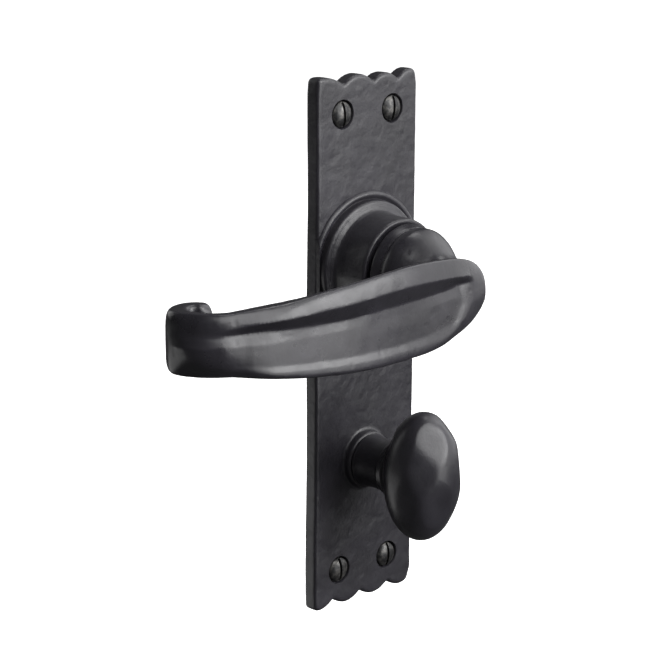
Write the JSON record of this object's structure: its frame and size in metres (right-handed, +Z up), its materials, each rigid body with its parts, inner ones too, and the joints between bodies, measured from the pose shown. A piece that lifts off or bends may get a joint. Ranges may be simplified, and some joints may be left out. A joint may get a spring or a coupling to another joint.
{
  "type": "door lever handle",
  "caption": "Black cast lever handle with a scrolled leaf-shaped grip on a tall scalloped backplate, with an oval thumb-turn below.",
  "frame": {"origin": "centre of the backplate's back face, which lies on the door", "axes": "+Z up along the plate, +X to the right seen from the front, +Y into the door; the front faces -Y and the lever points to -X"},
  "size_m": [0.1171, 0.0696, 0.152],
  "materials": {
    "black_casting": "satin black coating over lightly textured cast iron",
    "zinc_steel": "bright zinc plate",
    "spring_steel": "oil-tempered, dark",
    "black_nylon": "moulded, matt",
    "black_screw": "black, with lighter worn edges"
  },
  "bodies": {
    "plate": {"backplate": "black_casting", "lever_bush": "black_nylon", "thrust_washer": "zinc_steel", "return_spring": "spring_steel", "spring_anchor_pin": "zinc_steel", "stop_pin": "zinc_steel", "spring_cover": "zinc_steel", "cover_screw_left": "zinc_steel", "cover_screw_right": "zinc_steel", "turn_bush": "black_nylon", "turn_wave_washer": "spring_steel", "wood_screw_top_left": "black_screw", "wood_screw_top_right": "black_screw", "wood_screw_bottom_left": "black_screw", "wood_screw_bottom_right": "black_screw"},
    "lever": {"lever": "black_casting", "spring_driver": "zinc_steel", "lever_circlip": "spring_steel", "lever_spindle": "zinc_steel", "lever_grub_screw": "black_screw"},
    "turn": {"turn_knob": "black_casting", "turn_circlip": "spring_steel", "turn_spindle": "zinc_steel", "turn_grub_screw": "black_screw"}
  },
  "joints": [
    {"name": "lever_turn", "type": "hinge", "parent": "plate", "child": "lever", "pos_m": [0, 0, 0.0227], "axis": [0, -1, 0], "range_deg": [0, 50], "stiffness_Nm_per_rad": 0.9, "springref_deg": -25.78, "deforming": ["return_spring"]},
    {"name": "thumb_turn", "type": "hinge", "parent": "plate", "child": "turn", "pos_m": [0, 0, -0.0343], "axis": [0, 1, 0], "range_deg": [0, 90]}
  ]
}
